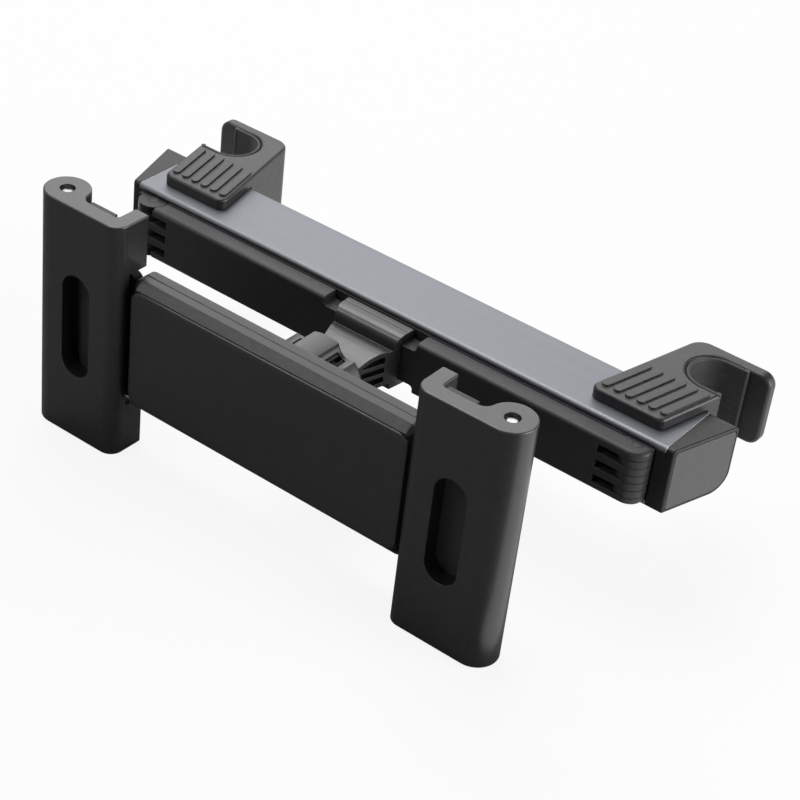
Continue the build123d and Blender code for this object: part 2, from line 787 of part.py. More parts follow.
def jaw_outline():
    """Plan of a jaw: round lobe on the pin, plate across the front, lip turned to the rear."""
    plate_back = jaw_plate - jaw_lobe_radius
    plate = Pos(-jaw_length / 2, plate_back - jaw_plate / 2) * Rectangle(jaw_length, jaw_plate)
    lip_depth = jaw_lip_reach + jaw_lobe_radius
    lip = Pos(-jaw_length + jaw_lip / 2, jaw_lip_reach - lip_depth / 2) * Rectangle(jaw_lip, lip_depth)
    outline = plate + lip
    inner = outline.vertices().sort_by(Axis.X)[:2].sort_by(Axis.Y)
    outline = fillet(inner[0], jaw_corner_radius)
    tips = outline.vertices().sort_by(Axis.Y)[-2:]
    outline = fillet(tips, jaw_lip_radius)
    corner = (jaw_lip - jaw_length, plate_back)
    inside = [v for v in outline.vertices() if abs(v.X - corner[0]) + abs(v.Y - corner[1]) < 0.01]
    outline = fillet(inside, jaw_groove * 0.9)
    return outline + Circle(jaw_lobe_radius)


def root_z():
    """Height past the window's end from which a jaw's plate and lobe are joined by a round."""
    return jaw_window_height / 2 + jaw_root_margin


def make_right_jaw():
    outline = jaw_outline()
    jaw = slab(outline, (-jaw_half_height, jaw_half_height))
    plate_back = jaw_plate - jaw_lobe_radius
    roots = [v for v in outline.vertices() if abs(v.Y - plate_back) < 0.01 and v.X > -jaw_length / 2]
    rooted = fillet(roots, jaw_root_radius)
    jaw += slab(rooted, (root_z(), jaw_half_height))
    jaw += slab(rooted, (-jaw_half_height, -root_z()))
    ends = jaw.faces().sort_by(Axis.Z)
    jaw = fillet(ends[0].edges() + ends[-1].edges(), jaw_edge_radius)
    cavity_z = jaw_barrel_half_height + slide_gap
    cavity_radius = jaw_barrel_radius + round_gap
    jaw -= bar((0, 0, -cavity_z), (0, 0, 1), cavity_radius, 2 * cavity_z)
    swing = slider_front - round_gap
    jaw -= block((-jaw_lobe_radius - 1, cavity_radius), (swing, jaw_lobe_radius + 1), (-cavity_z, cavity_z))
    notch_z = body_half_height + jaw_notch_gap
    notch = Pos(-jaw_length, 0) * Rectangle(4 * jaw_lip, 2 * notch_z)
    notch = fillet(notch.vertices(), notch_radius)
    jaw -= Pos(0, plate_back, 0) * extrude(Plane.XZ * notch, -2 * jaw_lobe_radius)
    window = SlotOverall(jaw_window_height, jaw_window_width, rotation=90)
    window_place = Pos(-jaw_window_offset, 0) * window
    jaw -= extrude(Plane.XZ * window_place, 2 * jaw_lobe_radius)
    jaw -= bar((0, 0, -jaw_half_height - 1), (0, 0, 1), jaw_pin_radius + press_gap, 2 * jaw_half_height + 2)
    for side in (-1, 1):
        mouth = (0, 0, side * jaw_half_height)
        jaw -= bar(mouth, (0, 0, -side), pin_mouth_radius, pin_mouth_depth)
    return at_right_pin(jaw)


def make_right_jaw_pad():
    plate_back = jaw_plate - jaw_lobe_radius
    half = jaw_half_height - jaw_pad_margin
    y_span = (plate_back, plate_back + jaw_pad_thickness)
    inner = -jaw_length + jaw_lip + jaw_groove
    pad = block((inner, -jaw_lobe_radius - round_gap), y_span, (-half, half))
    root_end = -jaw_lobe_radius - jaw_root_radius
    root_start = root_z() - round_gap
    for z_span in ((root_start, half + 1), (-half - 1, -root_start)):
        pad -= block((root_end, 0), (y_span[0] - 1, y_span[1] + 1), z_span)
    return at_right_pin(pad)


def make_right_jaw_pin():
    half = jaw_half_height - jaw_pin_recess
    pin = bar((0, 0, -half), (0, 0, 1), jaw_pin_radius, 2 * half)
    return at_right_pin(chamfer(pin.edges().filter_by(GeomType.CIRCLE), jaw_pin_bevel))


# Hooks


def hook_plan():
    """Plan of the right hook: splayed pad, and a prong behind the slot for the rod."""
    lean = tan(radians(hook_flare))
    pad_y = rail_front + hook_pad_front
    rear_y = rod_radius + liner_thickness + hook_prong
    shift = (rear_y - pad_y) * lean
    pad_end = hook_pad_start + hook_pad_width
    plan = Polygon(
        (hook_pad_start, pad_y),
        (pad_end, pad_y),
        (pad_end + shift, rear_y),
        (hook_pad_start + shift, rear_y),
        align=None,
    )
    plan = fillet(plan.vertices().sort_by(Axis.Y)[:2], hook_corner_radius)
    rear_inner = plan.vertices().sort_by(Axis.Y)[-2:].sort_by(Axis.X)[0]
    plan = fillet(rear_inner, hook_rear_radius)
    plan -= Pos(rod_spacing, rod_spacing / 2) * Rectangle(rod_spacing, rod_spacing)
    return plan - rod_slot(rod_radius + liner_thickness)


def hook_prong_bar():
    """The right hook's prong behind the rod, with a rounded tip."""
    low, high = hook_heights()
    start = rod_spacing / 2
    near = rod_radius + liner_thickness
    face = Pos((start + hook_reach) / 2, (low + high) / 2) * Rectangle(hook_reach - start, high - low)
    face = fillet(face.vertices().sort_by(Axis.X)[-2:], prong_tip_radius)
    return Pos(0, near, 0) * extrude(Plane.XZ * face, -hook_prong)


def rod_slot(radius):
    """U-shaped slot, open outwards, round the right rod."""
    x = rod_spacing / 2
    length = hook_reach
    return Pos(x, 0) * Circle(radius) + Pos(x + length / 2, 0) * Rectangle(length, 2 * radius)


def hook_heights():
    """Height span of the hook block behind the rail."""
    return (-rail_top + hook_drop, rail_top + hook_pad_thickness)


def make_right_hook():
    low, high = hook_heights()
    hook = slab(hook_plan(), (low, high)) + hook_prong_bar()
    rail_room = (rail_front, rail_rear + slide_gap)
    hook -= block((0, rail_length), rail_room, (low - 1, rail_top + slide_gap))
    top_rim = hook.faces().sort_by(Axis.Z)[-1].outer_wire().edges()
    across = hook.edges().filter_by(Axis.Y)
    tip_start = hook_reach - prong_tip_radius
    tip_rim = [edge for edge in hook.edges() if edge.center().X > tip_start and edge not in across]
    hook = fillet(list(top_rim) + tip_rim, hook_edge_radius)
    lean = tan(radians(hook_flare))
    ribs_middle_y = rail_front + hook_pad_front + rib_margin + rib_length / 2
    first = hook_pad_start + hook_pad_width / 2 + lean * (ribs_middle_y - rail_front - hook_pad_front)
    for index in range(rib_count):
        x = first + (index - (rib_count - 1) / 2) * rib_pitch
        rib = SlotOverall(rib_length, rib_width, rotation=90 - hook_flare)
        hook += slab(Pos(x, ribs_middle_y) * rib, (high - rib_height, high + rib_height))
    neck_span = (neck_x - neck_width / 2, neck_x + neck_width / 2)
    neck_y = (chamber_rear - slide_gap, rail_rear + slide_gap)
    hook += block(neck_span, neck_y, (-neck_height / 2, neck_height / 2))
    near_wall = -rod_radius - liner_thickness
    hook -= bar((neck_x, near_wall + 1, 0), (0, -1, 0), hook_screw_radius + press_gap, rail_depth)
    head_floor = near_wall - hook_screw_head_height - seat_gap
    hook -= bar((neck_x, head_floor, 0), (0, 1, 0), hook_screw_head_radius + seat_gap, rod_radius)
    return hook


def make_right_liner():
    low, high = hook_heights()
    plan = rod_slot(rod_radius + liner_thickness - press_gap) - rod_slot(rod_radius)
    lean = tan(radians(hook_flare))
    near_end = hook_pad_start + hook_pad_width + lean * (-rail_front - hook_pad_front - rod_radius) - 1
    plan = plan & Pos(near_end / 2, 0) * Rectangle(near_end, 4 * rod_radius)
    liner = slab(plan, (low + liner_recess, high - liner_recess))
    ends = liner.faces().sort_by(Axis.Z)
    return fillet(ends[0].edges() + ends[-1].edges(), liner_edge_radius)


def carriage_span():
    """Span in X of the right carriage inside the spring chamber."""
    return (neck_x - neck_width, rail_end - cap_plug_length - slide_gap)


def make_right_carriage():
    y_span = (chamber_front + slide_gap, chamber_rear - slide_gap)
    carriage = block(carriage_span(), y_span, (-carriage_height / 2, carriage_height / 2))
    hole_start = (neck_x, chamber_rear, 0)
    return carriage - bar(hole_start, (0, -1, 0), hook_screw_radius + press_gap, rail_depth / 2)


def make_right_hook_screw():
    head_y = -rod_radius - liner_thickness - hook_screw_head_height - seat_gap
    head_start = (neck_x, head_y, 0)
    head = bar(head_start, (0, 1, 0), hook_screw_head_radius, hook_screw_head_height)
    return head + bar(head_start, (0, -1, 0), hook_screw_radius, hook_screw_length)


def make_spring_stop():
    y_span = (chamber_front, chamber_rear)
    half = spring_stop_length / 2
    stop = block((-half, half), y_span, (-carriage_height / 2, carriage_height / 2))
    return stop - bar((0, chamber_rear, 0), (0, -1, 0), hook_screw_radius + press_gap, rail_depth / 4)


def make_stop_screw():
    head = bar((0, rail_rear, 0), (0, 1, 0), hook_screw_head_radius, hook_screw_head_height)
    return head + bar((0, rail_rear, 0), (0, -1, 0), hook_screw_radius, rail_depth / 4)


def make_right_hook_spring():
    start = spring_stop_length / 2 + hook_spring_wire
    end = carriage_span()[0] - hook_spring_wire
    pitch = (end - start) / hook_spring_turns
    middle = (start, (chamber_front + chamber_rear) / 2, 0)
    return coil(hook_spring_radius, hook_spring_wire, pitch, hook_spring_turns, middle, (1, 0, 0))


os.makedirs("parts", exist_ok=True)

end_cap = make_end_cap()
left_cap = other_side(end_cap)
for ear in hinge_ears():
    left_cap += ear
cap_screws = make_cap_screws()

save(make_rail(), "aluminium_rail")
save(end_cap, "right_end_cap")
save(left_cap, "left_end_cap")
save(make_end_plate(), "right_end_plate")
save(other_side(make_end_plate()), "left_end_plate")
save(Compound(cap_screws + [other_side(screw) for screw in cap_screws]), "end_cap_screws")
save(make_spring_stop(), "spring_stop")
save(make_stop_screw(), "spring_stop_screw")

for node, piece in (
    ("hook", make_right_hook()),
    ("hook_liner", make_right_liner()),
    ("hook_carriage", make_right_carriage()),
    ("hook_screw", make_right_hook_screw()),
    ("hook_spring", make_right_hook_spring()),
    ("jaw", make_right_jaw()),
    ("jaw_pad", make_right_jaw_pad()),
    ("jaw_pin", make_right_jaw_pin()),
):
    save(piece, f"right_{node}")
    save(other_side(piece), f"left_{node}")

save(make_inner_link(), "inner_link")
save(make_hinge_pin(-hinge_half_span), "link_hinge_pin")
save(make_front_arm(), "front_arm")
save(make_hinge_pin(hinge_half_span), "arm_hinge_pin")
save(make_bracket(), "arm_bracket")
save(Compound(make_bracket_screws()), "bracket_screws")
save(make_ball_stud(), "ball_stud")
save(make_ball_seat(), "ball_seat")
save(make_lock_nut(), "lock_nut")

save(make_holder_back(), "holder_back")
save(make_holder_front(), "holder_front")
save(make_front_pad(), "front_pad")
save(Compound(make_holder_screws()), "holder_screws")
save(make_pinion(), "rack_pinion")
save(at_holder(make_left_slider()), "left_slider")
save(at_holder(make_right_slider()), "right_slider")
save(at_holder(make_jaw_spring()), "left_jaw_spring")
save(at_holder(Rot(0, 180, 0) * make_jaw_spring()), "right_jaw_spring")
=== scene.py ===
import math

import bmesh
import bpy
from mathutils import Matrix, Vector


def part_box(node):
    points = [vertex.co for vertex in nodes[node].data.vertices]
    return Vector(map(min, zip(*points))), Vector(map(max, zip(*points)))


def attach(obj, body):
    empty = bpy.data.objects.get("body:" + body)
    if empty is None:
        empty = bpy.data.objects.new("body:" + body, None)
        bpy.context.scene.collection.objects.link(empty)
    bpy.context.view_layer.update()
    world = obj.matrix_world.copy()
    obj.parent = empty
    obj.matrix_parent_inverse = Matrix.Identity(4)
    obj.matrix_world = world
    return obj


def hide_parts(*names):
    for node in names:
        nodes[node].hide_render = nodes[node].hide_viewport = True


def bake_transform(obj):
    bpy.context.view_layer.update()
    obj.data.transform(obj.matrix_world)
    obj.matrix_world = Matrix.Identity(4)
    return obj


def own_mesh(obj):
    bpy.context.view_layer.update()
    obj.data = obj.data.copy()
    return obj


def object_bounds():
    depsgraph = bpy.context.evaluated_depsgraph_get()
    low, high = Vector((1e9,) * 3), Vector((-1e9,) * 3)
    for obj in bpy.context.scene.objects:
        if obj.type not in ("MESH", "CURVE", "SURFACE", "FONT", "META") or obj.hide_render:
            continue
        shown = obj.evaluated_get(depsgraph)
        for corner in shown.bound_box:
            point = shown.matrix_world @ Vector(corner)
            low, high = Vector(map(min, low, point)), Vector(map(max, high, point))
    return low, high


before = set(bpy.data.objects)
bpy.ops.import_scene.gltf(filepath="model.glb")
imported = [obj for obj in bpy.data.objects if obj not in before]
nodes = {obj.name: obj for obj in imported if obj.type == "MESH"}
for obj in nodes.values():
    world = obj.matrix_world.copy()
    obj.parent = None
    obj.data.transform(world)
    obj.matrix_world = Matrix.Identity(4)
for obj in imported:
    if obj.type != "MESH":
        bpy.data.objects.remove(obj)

cad_box = [list(corner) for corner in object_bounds()]

# Rail: an aluminium extrusion, bead blasted and anodised a cool grey, with a painted highlight along its
# upper edges.
# Its open front takes the folded arm, and the chamber behind takes the hook springs.
# The die leaves faint lines along it, and the blasting a fine even grain.


def new_finish(name):
    """An empty material with its node tree and its shader."""
    finish = bpy.data.materials.new(name)
    finish.use_nodes = True
    tree = finish.node_tree
    return finish, tree, tree.nodes["Principled BSDF"]


def add_node(tree, kind, **settings):
    """A node with its sockets or properties set by name."""
    node = tree.nodes.new(kind)
    for name, value in settings.items():
        if name in node.inputs:
            node.inputs[name].default_value = value
        else:
            setattr(node, name, value)
    return node


def figure(tree, operation, *values):
    """A sum on numbers or sockets."""
    step = add_node(tree, "ShaderNodeMath", operation=operation)
    for socket, value in zip(step.inputs, values):
        if isinstance(value, float):
            socket.default_value = value
        else:
            tree.links.new(value, socket)
    return step.outputs["Value"]


def speckle(tree, scale, stretch=(1.0, 1.0, 1.0), detail=2.0):
    """Noise on object coordinates, in cycles per metre, stretched along an axis if asked."""
    place = add_node(tree, "ShaderNodeTexCoord")
    mapping = add_node(tree, "ShaderNodeMapping", Scale=stretch)
    noise = add_node(tree, "ShaderNodeTexNoise", Scale=scale, Detail=detail)
    tree.links.new(place.outputs["Object"], mapping.inputs["Vector"])
    tree.links.new(mapping.outputs["Vector"], noise.inputs["Vector"])
    return noise.outputs["Fac"]


def spread(tree, source, low, high, start=0.3, stop=0.7):
    """A value brought from one range into another. Noise mostly lies between 0.3 and 0.7."""
    ranged = add_node(tree, "ShaderNodeMapRange")
    limits = (("From Min", start), ("From Max", stop), ("To Min", low), ("To Max", high))
    for label, limit in limits:
        ranged.inputs[label].default_value = limit
    tree.links.new(source, ranged.inputs["Value"])
    return ranged.outputs["Result"]


def tint(tree, shader, source, dark, light):
    """Base colour between two tones, led by a value from 0 to 1."""
    ramp = add_node(tree, "ShaderNodeValToRGB")
    ramp.color_ramp.elements[0].color = (*dark, 1.0)
    ramp.color_ramp.elements[1].color = (*light, 1.0)
    tree.links.new(source, ramp.inputs["Fac"])
    tree.links.new(ramp.outputs["Color"], shader.inputs["Base Color"])


def softened_edges(tree, radius):
    """Normals that run round every edge, as the die or the tool leaves it."""
    bevel = add_node(tree, "ShaderNodeBevel", samples=4, Radius=radius)
    return bevel.outputs["Normal"]


def relief(tree, shader, source, depth, strength, edges):
    """Bump from a noise value, its depth in metres, over softened edges."""
    bump = add_node(tree, "ShaderNodeBump", Strength=strength, Distance=depth)
    tree.links.new(source, bump.inputs["Height"])
    tree.links.new(edges, bump.inputs["Normal"])
    tree.links.new(bump.outputs["Normal"], shader.inputs["Normal"])


def edge_wear_and_highlight(tree, edges):
    """0 on flat faces and up to 1 along the edges, where hands rub the mouldings' skin and where the rail
    carries its painted highlight.
    """
    face = add_node(tree, "ShaderNodeNewGeometry")
    along = add_node(tree, "ShaderNodeVectorMath", operation="DOT_PRODUCT")
    tree.links.new(edges, along.inputs[0])
    tree.links.new(face.outputs["Normal"], along.inputs[1])
    return spread(tree, along.outputs["Value"], low=0.0, high=1.0, start=0.998, stop=0.92)


def facing_up(tree, edges):
    """0 on faces and edges that look down or forward, 1 on those that look well up."""
    axes = add_node(tree, "ShaderNodeSeparateXYZ")
    tree.links.new(edges, axes.inputs["Vector"])
    return spread(tree, axes.outputs["Z"], low=0.0, high=1.0, start=0.1, stop=0.4)


def dress(finish, *names):
    """Give solids their finish."""
    for name in names:
        mesh = nodes[name].data
        mesh.materials.clear()
        mesh.materials.append(finish)
        for face in mesh.polygons:
            face.material_index = 0


anodised_grey = (0.198, 0.205, 0.225)
painted_highlight_tone = (0.84, 0.85, 0.87)
highlight_edge_polish = -0.2
anodised, tree, shader = new_finish("anodised_aluminium")
shader.inputs["Metallic"].default_value = 1.0
die_lines = spread(tree, speckle(tree, scale=900.0, stretch=(0.004, 1.0, 1.0)), low=0.017, high=0.034)
edges = softened_edges(tree, radius=0.0005)
# Painted highlight: along the edges that look up, the colour runs to near white, standing in for the light
# they catch; these edges are also a little smoother.
painted_highlight_edges = figure(tree, "MULTIPLY", edge_wear_and_highlight(tree, edges), facing_up(tree, edges))
tint(tree, shader, figure(tree, "MAXIMUM", die_lines, painted_highlight_edges), anodised_grey, painted_highlight_tone)
blasted = spread(tree, speckle(tree, scale=2500.0), low=0.46, high=0.55)
tree.links.new(figure(tree, "MULTIPLY_ADD", painted_highlight_edges, highlight_edge_polish, blasted), shader.inputs["Roughness"])
relief(tree, shader, speckle(tree, scale=5200.0), depth=0.00002, strength=0.35, edges=edges)
dress(anodised, "aluminium_rail")

# End caps: black glass-filled plastic mouldings that plug into the rail's ends.
# Two steel screws hold each, and a glossier plate pressed into a recess covers their heads.
# The skin has a fine spark-eroded grain, rubbed a little paler along the edges.


def moulded(name, dark, light, gloss, rough, grain, depth):
    """Dark moulded plastic or rubber: eroded grain, mottled sheen and rubbed edges."""
    finish, tree, shader = new_finish(name)
    shader.inputs["Specular IOR Level"].default_value = gloss
    edges = softened_edges(tree, radius=0.00025)
    mottle = spread(tree, speckle(tree, scale=420.0), low=0.0, high=0.45)
    tint(tree, shader, figure(tree, "MAXIMUM", mottle, edge_wear_and_highlight(tree, edges)), dark, light)
    skin = spread(tree, speckle(tree, scale=1300.0), low=rough - 0.03, high=rough + 0.04)
    tree.links.new(skin, shader.inputs["Roughness"])
    relief(tree, shader, speckle(tree, scale=grain, detail=3.0), depth=depth, strength=0.4, edges=edges)
    return finish


def drawn_steel(name, dark, light, stretch, scale=1400.0, rough=(0.22, 0.34)):
    """Steel with fine lines from drawing or turning."""
    finish, tree, shader = new_finish(name)
    shader.inputs["Metallic"].default_value = 1.0
    lines = speckle(tree, scale=scale, stretch=stretch)
    tint(tree, shader, spread(tree, lines, low=0.0, high=1.0), dark, light)
    tree.links.new(spread(tree, lines, *rough), shader.inputs["Roughness"])
    edges = softened_edges(tree, radius=0.0002)
    relief(tree, shader, lines, depth=0.00001, strength=0.3, edges=edges)
    return finish


cap_plastic = moulded(
    "cap_plastic",
    dark=(0.008, 0.008, 0.009),
    light=(0.020, 0.020, 0.022),
    gloss=0.38,
    rough=0.36,
    grain=4200.0,
    depth=0.00002,
)
plate_plastic = moulded(
    "end_plate_plastic",
    dark=(0.044, 0.044, 0.047),
    light=(0.062, 0.062, 0.065),
    gloss=0.90,
    rough=0.36,
    grain=5200.0,
    depth=0.00002,
)
screw_steel = drawn_steel(
    "screw_steel", dark=(0.42, 0.42, 0.43), light=(0.58, 0.58, 0.59), stretch=(1.0, 0.2, 1.0)
)
dress(cap_plastic, "left_end_cap", "right_end_cap")
dress(plate_plastic, "left_end_plate", "right_end_plate")
dress(screw_steel, "end_cap_screws")

# Hook slides: natural-black acetal carriages that run in the rail's chamber on steel springs.
# A block of the same plastic in the middle takes both springs' thrust.
# One cross-head screw through the rail's back holds that block.


def geometry_tree(name, sizes):
    """A geometry tree with named inputs for its sizes, and its input and output nodes."""
    tree = bpy.data.node_groups.new(name, "GeometryNodeTree")
    tree.interface.new_socket("Geometry", in_out="INPUT", socket_type="NodeSocketGeometry")
    for label, kind in sizes.items():
        tree.interface.new_socket(label, in_out="INPUT", socket_type=kind)
    tree.interface.new_socket("Geometry", in_out="OUTPUT", socket_type="NodeSocketGeometry")
    return tree, tree.nodes.new("NodeGroupInput"), tree.nodes.new("NodeGroupOutput")


def repeated(tree, points, piece, chosen=None, **settings):
    """The same piece on every point, or on the chosen ones."""
    placed = add_node(tree, "GeometryNodeInstanceOnPoints", **settings)
    tree.links.new(points, placed.inputs["Points"])
    tree.links.new(piece, placed.inputs["Instance"])
    if chosen is not None:
        tree.links.new(chosen, placed.inputs["Selection"])
    return placed.outputs["Instances"]


def handed_over(tree, geometry, wanted, made):
    """Close a geometry tree: real mesh in the wanted finish."""
    real = add_node(tree, "GeometryNodeRealizeInstances")
    tree.links.new(geometry, real.inputs["Geometry"])
    finished = add_node(tree, "GeometryNodeSetMaterial")
    tree.links.new(real.outputs["Geometry"], finished.inputs["Geometry"])
    tree.links.new(wanted.outputs["Finish"], finished.inputs["Material"])
    tree.links.new(finished.outputs["Geometry"], made.inputs["Geometry"])


def along_curve(tree, route, section):
    """A bar of one section along a curve, closed at both ends."""
    bar = add_node(tree, "GeometryNodeCurveToMesh", **{"Fill Caps": True})
    tree.links.new(route, bar.inputs["Curve"])
    tree.links.new(section, bar.inputs["Profile Curve"])
    return bar.outputs["Mesh"]


def round_bar(tree, route, radius, sides):
    """A round bar along a curve."""
    ring = add_node(tree, "GeometryNodeCurvePrimitiveCircle", Resolution=sides)
    tree.links.new(radius, ring.inputs["Radius"])
    return along_curve(tree, route, ring.outputs["Curve"])


def new_piece(name, mesh):
    """An object at the origin, with its place in its mesh."""
    piece = bpy.data.objects.new(name, mesh)
    bpy.context.scene.collection.objects.link(piece)
    return piece


def grown(name, start, tree, sizes):
    """A plain mesh piece that a geometry tree makes from a starting mesh."""
    piece = new_piece(name, start)
    maker = piece.modifiers.new("maker", "NODES")
    maker.node_group = tree
    for item in tree.interface.items_tree:
        if item.in_out == "INPUT" and item.name in sizes:
            maker[item.identifier] = sizes[item.name]
    shaped = piece.evaluated_get(bpy.context.evaluated_depsgraph_get())
    mesh = bpy.data.meshes.new_from_object(shaped)
    piece.modifiers.remove(maker)
    piece.data = mesh
    return piece


def points_mesh(name, places):
    """A mesh of loose points."""
    mesh = bpy.data.meshes.new(name)
    mesh.from_pydata(places, [], [])
    return mesh


def shade_smooth(mesh, angle):
    """Smooth shading, with edges above an angle in degrees kept sharp."""
    mesh.shade_smooth()
    mesh.set_sharp_from_angle(angle=math.radians(angle))


def closed_mesh(name, shape):
    """A mesh from a closed shape, its faces turned outward."""
    bmesh.ops.recalc_face_normals(shape, faces=shape.faces)
    mesh = bpy.data.meshes.new(name)
    shape.to_mesh(mesh)
    shape.free()
    return mesh


def turned(name, section, axis):
    """A solid turned about Y or Z from its half section, given as radius and place along the axis."""
    shape = bmesh.new()
    about_y = axis == "Y"
    corners = [
        shape.verts.new((radius, along, 0.0) if about_y else (radius, 0.0, along))
        for radius, along in section
    ]
    line = [shape.edges.new(pair) for pair in zip(corners, corners[1:])]
    bmesh.ops.spin(
        shape,
        geom=corners + line,
        cent=(0.0, 0.0, 0.0),
        axis=(0.0, 1.0, 0.0) if about_y else (0.0, 0.0, 1.0),
        angle=math.tau,
        steps=40,
        use_merge=True,
    )
    bmesh.ops.remove_doubles(shape, verts=shape.verts, dist=1e-7)
    return bpy.data.objects.new(name, closed_mesh(name, shape))


def screw_blank(name, head_radius, head_height, shank_radius, shank_length):
    """A pan-head screw along Y, with the top of its head at the origin."""
    crown = head_height * 0.35
    bevel = crown * 0.3
    point = shank_radius * 0.5
    tip = -head_height - shank_length
    section = [
        (0.0, 0.0),
        (head_radius - crown, 0.0),
        (head_radius - bevel, -bevel),
        (head_radius, -crown),
        (head_radius, -head_height),
        (shank_radius, -head_height),
        (shank_radius, tip + point),
        (point, tip),
        (0.0, tip),
    ]
    return turned(name, section, "Y")


cross_head, wanted, made = geometry_tree(
    "cross_head_screws",
    {
        "Screw": "NodeSocketObject",
        "Recess Length": "NodeSocketFloat",
        "Recess Width": "NodeSocketFloat",
        "Recess Depth": "NodeSocketFloat",
        "Finish": "NodeSocketMaterial",
    },
)
blank = add_node(cross_head, "GeometryNodeObjectInfo")
cross_head.links.new(wanted.outputs["Screw"], blank.inputs["Object"])
recess = add_node(cross_head, "GeometryNodeMeshBoolean", operation="DIFFERENCE")
cross_head.links.new(blank.outputs["Geometry"], recess.inputs[0])
for across, along in (("Recess Length", "Recess Width"), ("Recess Width", "Recess Length")):
    size = add_node(cross_head, "ShaderNodeCombineXYZ")
    cross_head.links.new(wanted.outputs[across], size.inputs["X"])
    cross_head.links.new(wanted.outputs["Recess Depth"], size.inputs["Y"])
    cross_head.links.new(wanted.outputs[along], size.inputs["Z"])
    cut = add_node(cross_head, "GeometryNodeMeshCube")
    cross_head.links.new(size.outputs["Vector"], cut.inputs["Size"])
    cross_head.links.new(cut.outputs["Mesh"], recess.inputs[1])
screws = repeated(cross_head, wanted.outputs["Geometry"], recess.outputs["Mesh"])
handed_over(cross_head, screws, wanted, made)

coil_spring, wanted, made = geometry_tree(
    "coil_spring",
    {
        "Turns": "NodeSocketFloat",
        "Closed Turns": "NodeSocketFloat",
        "Coil Radius": "NodeSocketFloat",
        "Wire Radius": "NodeSocketFloat",
        "Length": "NodeSocketFloat",
        "Finish": "NodeSocketMaterial",
    },
)
winding = add_node(coil_spring, "GeometryNodeCurveSpiral", Resolution=28, Height=0.0)
coil_spring.links.new(wanted.outputs["Turns"], winding.inputs["Rotations"])
for label in ("Start Radius", "End Radius"):
    coil_spring.links.new(wanted.outputs["Coil Radius"], winding.inputs[label])
along = add_node(coil_spring, "GeometryNodeSplineParameter")
turned_so_far = figure(coil_spring, "MULTIPLY", along.outputs["Factor"], wanted.outputs["Turns"])
both_closed = figure(coil_spring, "MULTIPLY", wanted.outputs["Closed Turns"], 2.0)
open_turns = figure(coil_spring, "SUBTRACT", wanted.outputs["Turns"], both_closed)
past_end = figure(coil_spring, "SUBTRACT", turned_so_far, wanted.outputs["Closed Turns"])
rise = add_node(coil_spring, "ShaderNodeClamp")
coil_spring.links.new(figure(coil_spring, "DIVIDE", past_end, open_turns), rise.inputs["Value"])
height = figure(coil_spring, "MULTIPLY", rise.outputs["Result"], wanted.outputs["Length"])
lift = add_node(coil_spring, "ShaderNodeCombineXYZ")
coil_spring.links.new(height, lift.inputs["Z"])
stretched = add_node(coil_spring, "GeometryNodeSetPosition")
coil_spring.links.new(winding.outputs["Curve"], stretched.inputs["Geometry"])
coil_spring.links.new(lift.outputs["Vector"], stretched.inputs["Offset"])
wire = round_bar(coil_spring, stretched.outputs["Geometry"], wanted.outputs["Wire Radius"], sides=12)
springs = repeated(coil_spring, wanted.outputs["Geometry"], wire, Rotation=(0.0, math.pi / 2, 0.0))
handed_over(coil_spring, springs, wanted, made)


def wound_spring(name, node, turns, wire_radius, finish):
    """A coil spring with closed ends that fills the box of its plain solid, along X."""
    low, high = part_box(node)
    start = (low[0] + wire_radius, (low[1] + high[1]) / 2, (low[2] + high[2]) / 2)
    sizes = {
        "Turns": turns,
        "Closed Turns": 0.8,
        "Coil Radius": (high[2] - low[2]) / 2 - wire_radius,
        "Wire Radius": wire_radius,
        "Length": high[0] - low[0] - 2 * wire_radius,
        "Finish": finish,
    }
    spring = grown(name, points_mesh(f"{name}_start", [start]), coil_spring, sizes)
    shade_smooth(spring.data, 50)
    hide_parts(node)
    return spring


slide_plastic = moulded(
    "slide_plastic",
    dark=(0.030, 0.030, 0.032),
    light=(0.050, 0.050, 0.052),
    gloss=0.35,
    rough=0.46,
    grain=3000.0,
    depth=0.00003,
)
spring_steel = drawn_steel(
    "spring_steel", dark=(0.36, 0.36, 0.37), light=(0.52, 0.52, 0.53), stretch=(0.3, 1.0, 1.0)
)
dress(slide_plastic, "left_hook_carriage", "right_hook_carriage", "spring_stop")
for side, inner in (("left", 1), ("right", 0)):
    node = f"{side}_hook_spring"
    coil = wound_spring(f"{side}_hook_coil", node, turns=10.0, wire_radius=0.0005, finish=spring_steel)
    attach(coil, "rail")
    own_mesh(coil)

low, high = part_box("spring_stop_screw")
stop_head_height = 0.0015
stop_blank = screw_blank(
    "stop_screw_blank",
    head_radius=(high[0] - low[0]) / 2,
    head_height=stop_head_height,
    shank_radius=0.0015,
    shank_length=high[1] - low[1] - stop_head_height,
)
stop_middle = (Vector(low) + Vector(high)) / 2
stop_screw = grown(
    "stop_screw",
    points_mesh("stop_screw_place", [(stop_middle.x, high[1], stop_middle.z)]),
    cross_head,
    {
        "Screw": stop_blank,
        "Recess Length": 0.0030,
        "Recess Width": 0.0007,
        "Recess Depth": 0.0016,
        "Finish": screw_steel,
    },
)
shade_smooth(stop_screw.data, 35)
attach(stop_screw, "rail")
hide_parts("spring_stop_screw")

# Hooks: black plastic mouldings, each with a ribbed thumb pad over the rail's top.
# A screw from inside the rod slot ties each to its carriage, through a slot in the rail's back.
# Thumbs rub the edges of the pad and its ribs a little paler.
hook_plastic = moulded(
    "hook_plastic",
    dark=(0.012, 0.012, 0.013),
    light=(0.030, 0.030, 0.032),
    gloss=0.70,
    rough=0.42,
    grain=3800.0,
    depth=0.00003,
)
dress(hook_plastic, "left_hook", "right_hook")
dress(screw_steel, "left_hook_screw", "right_hook_screw")

